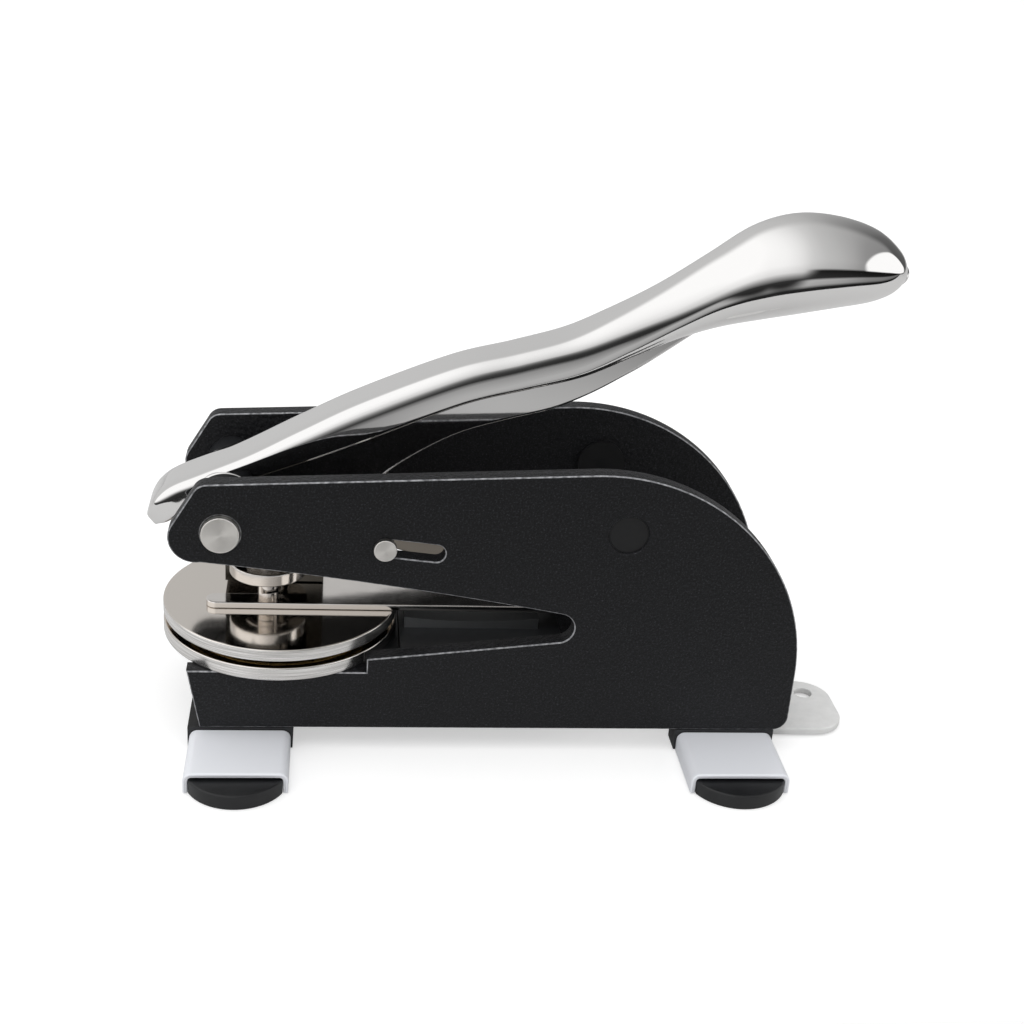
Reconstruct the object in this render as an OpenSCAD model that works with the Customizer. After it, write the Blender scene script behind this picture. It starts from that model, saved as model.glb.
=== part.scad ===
// Desk seal embosser: two steel side plates, a chrome lever on a front pivot, a guided ram and two
// round die discs, on four aluminium-capped feet. X runs along the machine towards the handle,
// Y across it away from the operator, Z up from the desk.

/* [Frame] */
// Thickness of a side plate
plate_t = 5; // [3:0.5:7]
// Clear width between the two side plates
frame_gap = 43; // [38:1:50]
// Height of the lower edge of the plates above the desk
plate_bottom_z = 6.5; // [5.5:0.5:9]
// X of the lower front corner of the plates
plate_front_x = -81.8; // [-83:0.2:-80]
// Distance that the plates' front edge leans forward from there to the lower disc's seat
front_lean = 3.1; // [2.6:0.1:3.4]
// X of the rear edge of the plates
plate_rear_x = 74.5; // [72:0.5:90]
// Radius of the big arc at the rear of the plates
rear_arc_r = 56; // [52:1:58]
// Height of the top of the plates at the rear arc
plate_top_z = 79.9; // [78:0.5:84]
// Slope of the top edge down towards the front, in degrees
top_slope = 2.96; // [2:0.1:4]
// Radius of the small outer corners of the plates
plate_corner_r = 4; // [2:0.5:5]
// Radius of the nose around the pivot end of the upper jaw
nose_r = 6.7; // [6:0.1:8]

/* [Throat] */
// X of the centre of the round end of the throat
throat_x = 9.7; // [0:0.5:14]
// Height of the centre of the round end of the throat
throat_z = 36.8; // [36:0.2:38]
// Radius of the round end of the throat
throat_r = 4.1; // [3.6:0.1:4.6]
// Slope of the upper jaw's lower edge up towards the front, in degrees
upper_jaw_slope = 10; // [9:0.5:11]
// Rise of the middle of the upper jaw's lower edge above a straight line
jaw_bow = 1; // [0:0.1:2]
// Slope of the lower jaw's edge up towards the rear, in degrees
lower_jaw_slope = 6.55; // [6.3:0.05:6.6]
// Depth of the seat for the lower disc below the lower jaw's edge
seat_step = 3.9; // [3.7:0.1:4.5]

/* [Discs and dies] */
// Diameter of the upper and the lower disc
disc_d = 62; // [58:1:64]
// X of the centre of the discs
disc_x = -61.9; // [-62.5:0.1:-61]
// Thickness of the upper disc
upper_disc_t = 3.3; // [2.8:0.1:3.8]
// Thickness of the lower disc
lower_disc_t = 3.6; // [3:0.1:4]
// Open gap between the two discs with the lever up
disc_gap = 1.9; // [1.88:0.02:2.4]
// Play between the lower disc and the rear end of its seat
seat_play = 0.36; // [0.2:0.02:0.5]
// Diameter of the dies
die_d = 51; // [40:1:54]
// Thickness of a die
die_t = 1.5; // [1:0.1:1.8]
// Height that a die stands proud of its disc
die_proud = 0.22; // [0.1:0.02:0.22]

/* [Ram] */
// Diameter of the ram's guided shank
ram_d = 12; // [10:0.5:13]
// Diameter of the neck between the ring and the upper disc
neck_d = 5.7; // [5:0.1:7]
// Length of the neck above the upper disc
neck_h = 7; // [6.5:0.1:7.5]
// Diameter of the adjusting ring
ring_d = 20.4; // [18:0.2:21]
// Height of the adjusting ring
ring_h = 3.5; // [3:0.1:4]
// Distance of the ram's axis behind the lever pivot
ram_reach = 10.6; // [10:0.1:11.5]
// Length of the ram guide along the machine
guide_l = 26.1; // [24:0.1:28]
// Distance of the guide's lower front face behind the middle plane
guide_face_y = 3.2; // [3.1:0.1:6]
// Thickness of the guide's roof in front of the adjusting ring
guide_wall = 1.8; // [1:0.2:4]
// Room around the lever and the ring inside the guide
lever_clear = 0.6; // [0.5:0.1:0.8]

/* [Pivot] */
// X of the lever pivot
pivot_x = -76; // [-76.4:0.1:-75.6]
// Height of the lever pivot
pivot_z = 62; // [61.8:0.1:62.4]
// Diameter of the pivot pin's head, which fills its hole in the near plate
pivot_head_d = 9.5; // [9:0.1:11]
// Diameter of the pivot pin's shaft
pivot_d = 8; // [7:0.1:8.5]
// Height that the pivot head stands proud of the plate
pivot_proud = 1.5; // [0.5:0.1:3]
// Wall thickness of the lever bush
bush_wall = 1.5; // [1:0.1:2]
// Outer diameter of the spacer sleeves
spacer_d = 13; // [11:0.5:14]

/* [Lever] */
// Angle through which the lever is pressed down, in degrees
lever_stroke = 8; // [4:0.5:8]
// Width of the lever's arm
arm_w = 16.6; // [14:0.2:20]
// Width of the handle's bulb
bulb_w = 28.6; // [24:0.2:34]
// Thickness of the web below the arm
web_t = 8; // [6:0.5:8.5]
// Diameter of the hub around the pivot
hub_d = 17; // [15:0.5:18]
// Width of the hub around the pivot
hub_w = 17; // [15:0.5:18]
// Diameter of the hardened press pad
pad_d = 7; // [6:0.5:8]
// Depth of the press pad's axis below the pivot
pad_drop = 5.8; // [5.4:0.1:6]

/* [Retaining shaft] */
// Distance of the retaining shaft behind the pivot
retainer_reach = 40.4; // [40:0.1:41]
// Distance of the retaining shaft below the pivot
retainer_drop = 3.1; // [2.8:0.1:3.4]
// Diameter of the retaining shaft
retainer_d = 4.4; // [4:0.1:4.6]
// Diameter of the heads of the retaining shaft
retainer_head_d = 5.8; // [5.4:0.1:8]
// Thickness of the heads
retainer_head_t = 1.8; // [1.4:0.1:3]
// Travel of the retaining shaft along its slot
retainer_travel = 12.8; // [12.6:0.1:13.4]
// Slope of the slot down towards the rear, in degrees
slot_slope = 5.9; // [5:0.1:7]
// Height of the hook below the retaining shaft
hook_h = 9; // [7:0.5:10]
// Length of the hook's tongue under the web, in front of the retaining shaft
hook_tongue_l = 12.2; // [10:0.2:12.4]
// Room in the hook's mouth in front of the retaining shaft
hook_room = 1.5; // [1:0.1:2]

/* [Leaf spring] */
// Width of the leaf spring
leaf_w = 18; // [14:0.5:22]
// Thickness of the leaf spring
leaf_t = 1.75; // [1.2:0.05:1.8]
// X of the round front end of the leaf spring
leaf_front_x = -81.3; // [-84:0.1:-76]
// X of the pin that the leaf spring's eye turns on
spring_pin_x = 21; // [19:0.5:30]
// Diameter of the spring pin
spring_pin_d = 3; // [2:0.1:4]
// Wall thickness of the rolled eye
eye_wall = 1.7; // [1.2:0.1:2]
// Gap between the discs and the grey rest block
rest_gap = 1.9; // [1.5:0.1:3]
// Height of the grey rest block
rest_h = 3.2; // [2.6:0.1:3.4]
// Length of the grey rest block
rest_l = 36; // [30:0.5:38]
// Depth of the dish along the rest block's top
rest_dish = 1.2; // [0.8:0.1:1.4]
// Diameter of the screws that hold the rest block
rest_screw_d = 3; // [2:0.5:4]
// Length of the rest block's screws in the base block
rest_screw_depth = 6; // [4:0.5:8]

/* [Blocks and plugs] */
// Thickness of the foot of the base block below the disc seat
base_foot_h = 12; // [8:0.5:14]
// X of the rear end of the base block
base_rear_x = 13; // [10:0.5:15]
// Height of the rear block between the plates
rear_block_h = 14; // [10:0.5:20]
// Diameter of the plugged holes in the plates
plug_d = 10; // [8:0.5:14]
// X of the plugged holes
plug_x = 25.6; // [22:0.5:32]
// Height of the plugged holes
plug_z = 63.6; // [60:0.5:66]
// Depth of a plug below the plate's outer face
plug_sink = 0.6; // [0.2:0.1:1]
// Width of a plug's flange on the inner face
plug_flange = 1.5; // [1:0.1:2.5]

/* [Feet] */
// Length of a foot along the machine
foot_l = 26; // [22:0.5:28]
// X of the middle of the front feet
front_foot_x = -71.3; // [-72:0.1:-70]
// X of the middle of the rear feet
rear_foot_x = 57.4; // [54:0.2:59]
// Reach of an aluminium cap beyond the plate
cap_reach = 20.5; // [16:0.5:24]
// Wall thickness of a cap
cap_wall = 1.3; // [1:0.1:1.6]
// Height of the cap's lower edge above the desk
cap_clear = 0.4; // [0.2:0.1:0.8]
// Step from the plates' lower edge down to the top of a cap
cap_step = 0.6; // [0.3:0.1:0.9]
// Radius of the cap's long upper edges
cap_edge_r = 2.2; // [1.5:0.1:3]
// Reach of the rubber nose beyond its cap
nose_reach = 7; // [4:0.5:9]
// Height of the rubber foot
rubber_h = 4.1; // [3:0.1:4.2]
// Length of the rubber foot inside the cap
rubber_l = 8; // [6:0.5:10]
// Amount that a foot bar is longer than a cap on each side
bar_over = 0.5; // [0:0.1:1]

/* [Rear lug] */
// Width of the rear lug
lug_w = 26; // [20:0.5:30]
// Thickness of the rear lug
lug_t = 2; // [1.5:0.1:2.4]
// X of the round end of the rear lug
lug_end_x = 94.5; // [88:0.5:95]
// Radius of the two rear corners of the lug
lug_corner_r = 8.7; // [6:0.1:9.5]
// Shift of the lug towards the near side
lug_shift = 6.5; // [0:0.5:8]
// Height of the lug above the desk
lug_low_z = 0.6; // [0.4:0.1:0.8]
// Diameter of the screw hole in the lug
lug_hole_d = 5; // [3:0.5:7]
// Distance of the screw hole from the lug's round end
lug_hole_in = 7.5; // [6:0.5:12]
// Shift of the screw hole from the lug's middle line
lug_hole_shift = 6.5; // [0:0.5:7]
// Diameter of the screws that hold the lug
lug_screw_d = 3; // [2:0.5:3]

/* [Screws and fits] */
// Diameter of the foot screws
screw_d = 4; // [3:0.5:5]
// Length of the foot screws in the blocks
screw_bite = 6; // [4:0.5:9]
// Distance of the foot screws from the middle plane
screw_y = 12; // [11:0.5:14]
// Diameter of the screw heads
screw_head_d = 7; // [6:0.5:8]
// Height of the screw heads
screw_head_h = 1.8; // [1.4:0.1:2.2]
// Radial play of pressed pins and bushes
press_play = 0.02; // [0.01:0.01:0.03]
// Radial running clearance of moving pins and shanks
run_play = 0.05; // [0.03:0.01:0.08]
// Small gap between neighbouring pieces
gap = 0.1; // [0.05:0.01:0.15]

/* [Hidden] */
$fn = 72;

// Heights of the stack of discs, from the seat on the plates upwards
half_gap = frame_gap / 2;
outer_y = half_gap + plate_t;
throat_low_z = throat_z - throat_r;
seat_x = disc_x + sqrt(pow(disc_d / 2, 2) - pow(half_gap, 2)) + seat_play;
seat_edge_z = throat_low_z - (throat_x - seat_x) * tan(lower_jaw_slope);
seat_z = seat_edge_z - seat_step;
lower_top_z = seat_z + lower_disc_t;
upper_low_z = lower_top_z + disc_gap;
upper_top_z = upper_low_z + upper_disc_t;
leaf_low_z = upper_top_z + 0.5 * gap;
leaf_top_z = leaf_low_z + leaf_t;
neck_top_z = upper_top_z + neck_h;
ring_top_z = neck_top_z + ring_h;

// Ram travel: the pad's lowest line drops as the lever turns
ram_x = pivot_x + ram_reach;
ram_travel = ram_reach * sin(lever_stroke) - pad_drop * (1 - cos(lever_stroke));
ram_top_z = pivot_z - pad_drop - pad_d / 2 - gap;

// Rear arc of the plates
rear_arc = [plate_rear_x - rear_arc_r, plate_top_z - rear_arc_r];

// Points of an arc about c, from angle a0 to a1 in n steps
function arc(c, r, a0, a1, n = 12) =
    [for (i = [0:n]) c + r * [cos(a0 + (a1 - a0) * i / n), sin(a0 + (a1 - a0) * i / n)]];

// Smooth curve through the points p: value at u, where u = 0 .. len(p) - 1
function spline(p, u) =
    let (n = len(p), i = min(floor(u), n - 2), t = u - i,
        a = p[max(i - 1, 0)], b = p[i], c = p[i + 1], d = p[min(i + 2, n - 1)])
    0.5 * (2 * b + (c - a) * t + (2 * a - 5 * b + 4 * c - d) * t * t
        + (3 * b - a - 3 * c + d) * t * t * t);

// Extrudes an XZ outline across the machine, from y0 to y1
module across(y0, y1) {
    translate([0, y1, 0]) rotate([90, 0, 0]) linear_extrude(y1 - y0) children();
}

// Round bar across the machine
module cross_rod(x, z, d, y0, y1) {
    translate([x, y1, z]) rotate([90, 0, 0]) cylinder(h = y1 - y0, d = d);
}

// ---- side plates ----

chamfer_angle = 153.7;
nose_c = [pivot_x - 6.1, pivot_z - 1.5];
top_corner_x = pivot_x - 3;
top_front_z = plate_top_z - (rear_arc[0] - top_corner_x) * tan(top_slope);
top_corner = [top_corner_x, top_front_z - plate_corner_r];
nose_end_angle = 270 + upper_jaw_slope;
throat_start_angle = 90 - upper_jaw_slope;
nose_low = arc(nose_c, nose_r, nose_end_angle, nose_end_angle, 1)[0];
throat_top = arc([throat_x, throat_z], throat_r, throat_start_angle, throat_start_angle, 1)[0];
jaw_steps = 12;

function jaw_edge() = [for (i = [1:jaw_steps - 1])
    let (t = i / jaw_steps)
    nose_low + (throat_top - nose_low) * t + [0, 4 * jaw_bow * t * (1 - t)]];

module plate_outline() {
    polygon(concat(
        [[plate_front_x, plate_bottom_z]],
        arc([plate_rear_x - plate_corner_r, plate_bottom_z + plate_corner_r],
            plate_corner_r, -90, 0),
        arc(rear_arc, rear_arc_r, 0, 90 + top_slope, 48),
        arc(top_corner, plate_corner_r, 90 + top_slope, chamfer_angle, 8),
        arc(nose_c, nose_r, chamfer_angle, nose_end_angle, 20),
        jaw_edge(),
        arc([throat_x, throat_z], throat_r, throat_start_angle, lower_jaw_slope - 90, 20),
        [[seat_x, seat_edge_z], [seat_x, seat_z], [plate_front_x - front_lean, seat_z]]));
}

retainer_pos = [pivot_x + retainer_reach, pivot_z - retainer_drop];
slot_r = retainer_d / 2 + 2 * run_play;
groove_depth = plate_t * 0.7;

// Slot along which the retaining shaft slides
module retainer_slot() {
    translate(retainer_pos) rotate(-slot_slope) {
        circle(r = slot_r);
        translate([retainer_travel, 0]) circle(r = slot_r);
        translate([0, -slot_r]) square([retainer_travel, 2 * slot_r]);
    }
}

// Plate with its pivot and plug holes
module side_plate(y0, pin_hole_d) {
    across(y0, y0 + plate_t) difference() {
        plate_outline();
        translate([pivot_x, pivot_z]) circle(d = pin_hole_d + 2 * press_play);
        translate([plug_x, plug_z]) circle(d = plug_d + 2 * press_play);
    }
}

// The slot goes through the near plate
module side_plate_near() {
    color("#1d1e20") difference() {
        side_plate(-outer_y, pivot_head_d);
        across(-outer_y - 1, -half_gap + 1) retainer_slot();
    }
}

// The far plate has a blind groove for the end of the retaining shaft
module side_plate_far() {
    color("#1d1e20") difference() {
        side_plate(half_gap, pivot_d);
        across(half_gap - 1, half_gap + groove_depth) retainer_slot();
    }
}

// ---- plugs and blocks between the plates ----

// Plug pressed into its hole from inside; side is -1 near and 1 far
module plate_plug(side) {
    color("#17181a") mirror([0, side < 0 ? 1 : 0, 0]) {
        cross_rod(plug_x, plug_z, plug_d, half_gap, outer_y - plug_sink);
        cross_rod(plug_x, plug_z, plug_d + 2 * plug_flange, half_gap - 1, half_gap);
    }
}

module plate_plug_near() { plate_plug(-1); }

module plate_plug_far() { plate_plug(1); }

base_front_x = plate_front_x + 2;
base_step_x = disc_x + disc_d / 2 + 0.5;
base_top_z = seat_edge_z;
screw_top_z = plate_bottom_z + screw_bite;

module base_block() {
    color("#242528") difference() {
        across(-half_gap, half_gap) polygon([
            [base_front_x, plate_bottom_z], [front_foot_x + 30, plate_bottom_z],
            [front_foot_x + 38, base_top_z - base_foot_h], [base_rear_x, base_top_z - base_foot_h],
            [base_rear_x, base_top_z], [base_step_x, base_top_z], [base_step_x, seat_z],
            [base_front_x, seat_z]]);
        for (y = [-1, 1] * screw_y)
            translate([front_foot_x, y, plate_bottom_z])
                cylinder(h = 2 * (screw_top_z - plate_bottom_z), d = screw_d + 2 * press_play, center = true);
        for (x = rest_screw_x)
            translate([x, 0, base_top_z - rest_screw_depth])
                cylinder(h = rest_screw_depth + 1, d = rest_screw_d + 2 * press_play);
    }
}

module rear_block() {
    color("#242528") difference() {
        across(-half_gap, half_gap) polygon([
            [rear_foot_x - foot_l / 2, plate_bottom_z], [rear_foot_x + foot_l / 2, plate_bottom_z],
            [rear_foot_x + foot_l / 2, plate_bottom_z + rear_block_h - 4],
            [rear_foot_x + foot_l / 2 - 4, plate_bottom_z + rear_block_h],
            [rear_foot_x - foot_l / 2, plate_bottom_z + rear_block_h]]);
        for (y = [-1, 1] * screw_y)
            translate([rear_foot_x, y, plate_bottom_z])
                cylinder(h = 2 * (screw_top_z - plate_bottom_z), d = screw_d + 2 * press_play, center = true);
    }
}

// ---- ram guide ----

guide_x = pivot_x - 0.9;
guide_roof_z = ring_top_z + 4.4;
guide_low_z = leaf_top_z + 0.4;
spacer_in_y = max(hub_w, arm_w) / 2 + gap;
web_room = web_t / 2 + lever_clear;
hub_room = spacer_in_y + lever_clear;
guide_top_z = pivot_z - hub_d / 2 - 1.6;
web_slot_z = guide_top_z - 4;
ear_top_z = pivot_z - spacer_d / 2 - 0.8;
ear_low_z = guide_top_z - 0.4;
roof_y = ring_d / 2 + guide_wall;

module ram_guide() {
    color("#d9d9d6") difference() {
        union() {
            translate([guide_x, guide_face_y, guide_low_z])
                cube([guide_l, half_gap - guide_face_y, guide_top_z - guide_low_z]);
            translate([guide_x, -roof_y, guide_roof_z])
                cube([guide_l, roof_y + half_gap, guide_top_z - guide_roof_z]);
            translate([guide_x, -half_gap, ear_low_z])
                cube([guide_l, half_gap - hub_room, ear_top_z - ear_low_z]);
            translate([guide_x, hub_room, ear_low_z])
                cube([guide_l, half_gap - hub_room, ear_top_z - ear_low_z]);
        }
        translate([ram_x, 0, guide_low_z - 1])
            cylinder(h = guide_top_z - guide_low_z + 2, d = ram_d + 2 * run_play);
        translate([ram_x, 0, neck_top_z - ram_travel - lever_clear])
            cylinder(h = guide_roof_z - neck_top_z + ram_travel + lever_clear, d = ring_d + 2 * lever_clear);
        translate([guide_x - 1, -web_room, web_slot_z])
            cube([guide_l + 2, 2 * web_room, ear_top_z - web_slot_z + 1]);
    }
}

// ---- pivot ----

clip_y = outer_y + 1.2;
clip_t = 0.8;
groove_d = pivot_d - 1.6;
pin_end = 1.6;

module pivot_pin() {
    color("#c9c9c6") {
        cross_rod(pivot_x, pivot_z, pivot_head_d, -outer_y - pivot_proud, -half_gap);
        cross_rod(pivot_x, pivot_z, pivot_d, -half_gap, clip_y);
        cross_rod(pivot_x, pivot_z, groove_d, clip_y, clip_y + clip_t);
        cross_rod(pivot_x, pivot_z, pivot_d, clip_y + clip_t, clip_y + clip_t + pin_end);
    }
}

// Retaining ring, open at the front so that it slips over the groove
module pivot_retaining_ring() {
    color("#8b8d90") across(clip_y + gap / 2, clip_y + clip_t - gap / 2) difference() {
        translate([pivot_x, pivot_z]) circle(d = pivot_d + 5);
        translate([pivot_x, pivot_z]) circle(d = groove_d + 2 * press_play);
        translate([pivot_x - pivot_d, pivot_z - groove_d * 0.4]) square([pivot_d, groove_d * 0.8]);
    }
}

module spacer(y0, y1) {
    color("#5c5e60") difference() {
        cross_rod(pivot_x, pivot_z, spacer_d, y0, y1);
        cross_rod(pivot_x, pivot_z, pivot_d + 2 * run_play, y0 - 1, y1 + 1);
    }
}

module spacer_near() { spacer(-half_gap, -spacer_in_y); }

module spacer_far() { spacer(spacer_in_y, half_gap); }

// ---- feet ----

bar_h = plate_bottom_z - cap_clear;
cap_top_z = plate_bottom_z - cap_step;
tongue_reach = cap_reach - rubber_l - gap;
rear_head_z = lug_low_z + lug_t + gap;
cap_in_l = foot_l - 2 * cap_wall;
cap_in_h = cap_top_z - cap_wall - cap_clear;

// Black bar across under both plates, with narrower tongues that carry the caps
module foot_bar(x, head_z) {
    color("#1b1c1e") difference() {
        union() {
            translate([x - foot_l / 2 - bar_over, -outer_y, cap_clear])
                cube([foot_l + 2 * bar_over, 2 * outer_y, bar_h]);
            translate([x - cap_in_l / 2 + gap, -outer_y - tongue_reach, cap_clear])
                cube([cap_in_l - 2 * gap, 2 * (outer_y + tongue_reach), cap_in_h - gap]);
        }
        for (y = [-1, 1] * screw_y) translate([x, y, 0]) {
            cylinder(h = plate_bottom_z + 1, d = screw_d + 2 * press_play);
            cylinder(h = head_z + screw_head_h + gap, d = screw_head_d + 2 * gap);
        }
        children();
    }
}

module foot_bar_front() { foot_bar(front_foot_x, cap_clear); }

// The rear bar is slotted below for the lug
module foot_bar_rear() {
    foot_bar(rear_foot_x, rear_head_z) {
        translate([rear_foot_x - foot_l, -lug_shift - lug_w / 2 - gap, -1])
            cube([2 * foot_l, lug_w + 2 * gap, lug_low_z + lug_t + 1]);
        lug_screw_set(press_play);
    }
}

// Round-edged channel section of a cap, seen along Y
module cap_section() {
    difference() {
        union() {
            translate([-foot_l / 2, cap_clear]) square([foot_l, cap_top_z - cap_edge_r - cap_clear]);
            translate([-foot_l / 2 + cap_edge_r, cap_clear])
                square([foot_l - 2 * cap_edge_r, cap_top_z - cap_clear]);
            for (s = [-1, 1])
                translate([s * (foot_l / 2 - cap_edge_r), cap_top_z - cap_edge_r]) circle(r = cap_edge_r);
        }
        translate([-cap_in_l / 2, -1]) square([cap_in_l, cap_top_z - cap_wall + 1]);
    }
}

// Aluminium cap on a foot bar's tongue; side is -1 near and 1 far
module foot_cap(x, side) {
    color("#cfd2d6") mirror([0, side < 0 ? 1 : 0, 0]) translate([x, 0, 0])
        across(outer_y + gap / 2, outer_y + cap_reach) cap_section();
}

// Rubber foot in the open end of a cap, with a half-round nose
module rubber_foot(x, side) {
    nose_w = cap_in_l - 2 * gap;
    nose_curve_r = (pow(nose_w / 2, 2) + pow(nose_reach, 2)) / (2 * nose_reach);
    color("#18191a") mirror([0, side < 0 ? 1 : 0, 0]) translate([x, outer_y + cap_reach, 0])
        linear_extrude(rubber_h) {
            translate([-nose_w / 2, -rubber_l]) square([nose_w, rubber_l]);
            intersection() {
                translate([0, nose_reach - nose_curve_r]) circle(r = nose_curve_r);
                translate([-nose_w / 2, -0.01]) square([nose_w, nose_reach + 1]);
            }
        }
}

module foot_cap_front_near() { foot_cap(front_foot_x, -1); }
module foot_cap_front_far() { foot_cap(front_foot_x, 1); }
module foot_cap_rear_near() { foot_cap(rear_foot_x, -1); }
module foot_cap_rear_far() { foot_cap(rear_foot_x, 1); }
module rubber_foot_front_near() { rubber_foot(front_foot_x, -1); }
module rubber_foot_front_far() { rubber_foot(front_foot_x, 1); }
module rubber_foot_rear_near() { rubber_foot(rear_foot_x, -1); }
module rubber_foot_rear_far() { rubber_foot(rear_foot_x, 1); }

module foot_screws() {
    color("#8b8d90") for (foot = [[front_foot_x, cap_clear], [rear_foot_x, rear_head_z]],
            y = [-1, 1] * screw_y)
        translate([foot[0], y, foot[1]]) {
            cylinder(h = screw_head_h, d = screw_head_d);
            cylinder(h = screw_top_z - foot[1], d = screw_d);
        }
}

// ---- rear lug ----

lug_front_x = rear_foot_x - foot_l / 2 + 2;
lug_screw_x = rear_foot_x + foot_l / 2 - 5;
lug_screw_top_z = plate_bottom_z - 1;

// Countersunk screws that hold the lug to the rear foot bar, grown by play for their holes
module lug_screw_set(play) {
    head_r = lug_screw_d;
    shank_r = lug_screw_d / 2 + play;
    for (s = [-1, 1])
        translate([lug_screw_x, s * lug_w / 3 - lug_shift, 0]) rotate_extrude() polygon([
            [0, lug_low_z], [head_r + play, lug_low_z], [shank_r, lug_low_z + lug_screw_d / 2],
            [shank_r, lug_screw_top_z + play], [0, lug_screw_top_z + play]]);
}

module rear_lug() {
    corner_r = lug_corner_r;
    color("#cfcfcd") difference() {
        translate([0, -lug_shift, lug_low_z]) linear_extrude(lug_t) {
            translate([lug_front_x, -lug_w / 2]) square([lug_end_x - corner_r - lug_front_x, lug_w]);
            translate([lug_end_x - corner_r - 1, -lug_w / 2 + corner_r])
                square([corner_r + 1, lug_w - 2 * corner_r]);
            for (s = [-1, 1])
                translate([lug_end_x - corner_r, s * (lug_w / 2 - corner_r)]) circle(r = corner_r);
        }
        translate([lug_end_x - lug_hole_in, lug_hole_shift - lug_shift, 0])
            cylinder(h = 10, d = lug_hole_d);
        lug_screw_set(press_play);
    }
}

module lug_screws() { color("#8b8d90") lug_screw_set(0); }

// ---- discs and dies ----

// Turned disc with a recess for its die, low or high face open
module die_disc(z, t, open_z) {
    difference() {
        translate([disc_x, 0, z]) cylinder(h = t, d = disc_d, $fn = 128);
        translate([disc_x, 0, open_z]) cylinder(h = die_t - die_proud, d = die_d + 2 * press_play, $fn = 128);
    }
}

module lower_disc() {
    color("#d4d4d2") die_disc(seat_z, lower_disc_t, lower_top_z - die_t + die_proud);
}

module lower_die() {
    color("#b9a26a") translate([disc_x, 0, lower_top_z - die_t + die_proud])
        cylinder(h = die_t, d = die_d, $fn = 128);
}

module upper_disc() {
    color("#d4d4d2") difference() {
        die_disc(upper_low_z, upper_disc_t, upper_low_z);
        translate([ram_x, 0, upper_top_z - spigot_h]) cylinder(h = spigot_h + 1, d = spigot_d + 2 * press_play);
    }
}

module upper_die() {
    color("#b9a26a") translate([disc_x, 0, upper_low_z - die_proud])
        cylinder(h = die_t, d = die_d, $fn = 128);
}

// ---- ram and adjusting ring ----

spigot_d = 4;
spigot_h = 1.6;

module ram() {
    color("#d4d4d2") translate([ram_x, 0, 0]) rotate_extrude() polygon([
        [0, upper_top_z - spigot_h], [spigot_d / 2, upper_top_z - spigot_h],
        [spigot_d / 2, upper_top_z], [neck_d / 2, upper_top_z], [neck_d / 2, neck_top_z],
        [ram_d / 2, neck_top_z], [ram_d / 2, ram_top_z - 0.5], [ram_d / 2 - 0.5, ram_top_z],
        [0, ram_top_z]]);
}

module adjusting_ring() {
    edge = 0.4;
    bore_r = ram_d / 2 + press_play;
    color("#d4d4d2") translate([ram_x, 0, 0]) rotate_extrude() polygon([
        [bore_r, neck_top_z], [ring_d / 2 - edge, neck_top_z], [ring_d / 2, neck_top_z + edge],
        [ring_d / 2, ring_top_z - edge], [ring_d / 2 - edge, ring_top_z], [bore_r, ring_top_z]]);
}

// ---- leaf spring, its pin and the rest block ----

spring_pin_z = (leaf_low_z + leaf_top_z) / 2;
eye_d = spring_pin_d + 2 * run_play + 2 * eye_wall;

module leaf_spring() {
    color("#d4d4d2") difference() {
        union() {
            translate([0, 0, leaf_low_z]) linear_extrude(leaf_t) difference() {
                union() {
                    translate([leaf_front_x + leaf_w / 2, -leaf_w / 2])
                        square([spring_pin_x - leaf_front_x - leaf_w / 2, leaf_w]);
                    translate([leaf_front_x + leaf_w / 2, 0]) circle(d = leaf_w);
                }
                translate([ram_x, 0]) circle(d = neck_d + 1.4);
            }
            cross_rod(spring_pin_x, spring_pin_z, eye_d, -leaf_w / 2, leaf_w / 2);
        }
        cross_rod(spring_pin_x, spring_pin_z, spring_pin_d + 2 * run_play, -leaf_w, leaf_w);
    }
}

module spring_pin() {
    color("#8b8d90") cross_rod(spring_pin_x, spring_pin_z, spring_pin_d, -half_gap, half_gap);
}

rest_x = disc_x + disc_d / 2 + rest_gap;
rest_screw_x = [rest_x + 2 * rest_screw_d, rest_x + rest_l - 2 * rest_screw_d];

// Grey block under the leaf, its top dished lengthwise
module rest_block() {
    dish = rest_dish;
    dish_r = (pow(rest_l / 2, 2) + dish * dish) / (2 * dish);
    dish_angle = asin(rest_l / 2 / dish_r);
    color("#9a9c9e") difference() {
        across(-leaf_w / 2, leaf_w / 2) polygon(concat(
            [[rest_x, base_top_z], [rest_x + rest_l, base_top_z]],
            arc([rest_x + rest_l / 2, base_top_z + rest_h - dish + dish_r], dish_r,
                -90 + dish_angle, -90 - dish_angle, 20)));
        for (x = rest_screw_x)
            translate([x, 0, base_top_z - 1]) cylinder(h = rest_h + 2, d = rest_screw_d + 2 * press_play);
    }
}

module rest_screws() {
    color("#8b8d90") for (x = rest_screw_x)
        translate([x, 0, base_top_z - rest_screw_depth])
            cylinder(h = rest_screw_depth + rest_h - rest_dish - 2 * gap, d = rest_screw_d);
}

// ---- lever ----

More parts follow.
